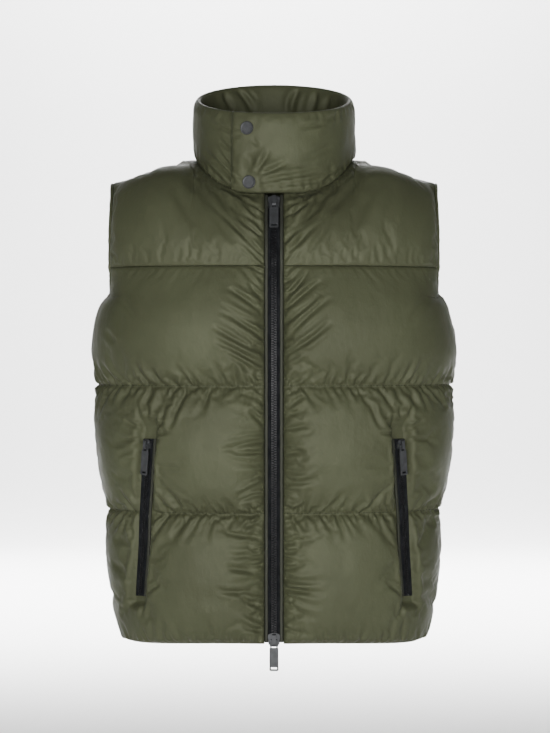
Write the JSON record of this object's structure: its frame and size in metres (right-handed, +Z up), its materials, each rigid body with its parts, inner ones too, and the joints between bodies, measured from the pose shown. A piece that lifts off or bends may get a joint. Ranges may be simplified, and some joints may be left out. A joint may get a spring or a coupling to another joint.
{
  "type": "puffer vest",
  "caption": "Padded sleeveless jacket with a stand collar closed by a snapped flap, a two-way centre zip and zipped side pockets.",
  "frame": {"origin": "where the shoulders carry it: midway between the neck ends of the two shoulder seams", "axes": "+Z up, -Y out of the front, +X towards the wearer's left"},
  "size_m": [0.4663, 0.2889, 0.7541],
  "materials": {
    "shell_nylon": "satin",
    "binding_nylon": "satin",
    "edge_strip": "satin",
    "zip_textile": "matte",
    "zip_teeth": "gloss",
    "gunmetal": "satin"
  },
  "bodies": {
    "vest": {"yoke_front_left": "shell_nylon", "front_left": "shell_nylon", "yoke_front_right": "shell_nylon", "front_right": "shell_nylon", "yoke_back": "shell_nylon", "back": "shell_nylon", "collar": "shell_nylon", "armhole_binding_left": "binding_nylon", "armhole_binding_right": "binding_nylon", "placket_strip_left": "edge_strip", "placket_strip_right": "edge_strip", "pocket_welt_left": "edge_strip", "pocket_welt_right": "edge_strip", "zip_tape_left": "zip_textile", "zip_tape_right": "zip_textile", "zip_chain": "zip_teeth", "pocket_zip_left": "zip_teeth", "pocket_zip_right": "zip_teeth", "slider_top": "gunmetal", "slider_bottom": "gunmetal", "slider_pocket_left": "gunmetal", "slider_pocket_right": "gunmetal", "snap_upper": "gunmetal", "snap_lower": "gunmetal"},
    "pull_top": {"pull_top": "gunmetal"},
    "pull_bottom": {"pull_bottom": "gunmetal"},
    "pull_pocket_left": {"pull_pocket_left": "gunmetal"},
    "pull_pocket_right": {"pull_pocket_right": "gunmetal"}
  },
  "joints": [
    {"name": "pull_top_swing", "type": "hinge", "parent": "vest", "child": "pull_top", "pos_m": [0, -0.10401, -0.04414], "axis": [-1, 0, 0], "range_deg": [0, 130]},
    {"name": "pull_bottom_swing", "type": "hinge", "parent": "vest", "child": "pull_bottom", "pos_m": [0, -0.12168, -0.59345], "axis": [-1, 0, 0], "range_deg": [0, 170]},
    {"name": "pull_pocket_left_swing", "type": "hinge", "parent": "vest", "child": "pull_pocket_left", "pos_m": [0.16053, -0.11488, -0.34952], "axis": [-0.8829, -0.4585, -0.1012], "range_deg": [0, 170]},
    {"name": "pull_pocket_right_swing", "type": "hinge", "parent": "vest", "child": "pull_pocket_right", "pos_m": [-0.16053, -0.11488, -0.34952], "axis": [-0.8829, 0.4585, 0.1012], "range_deg": [0, 170]}
  ]
}
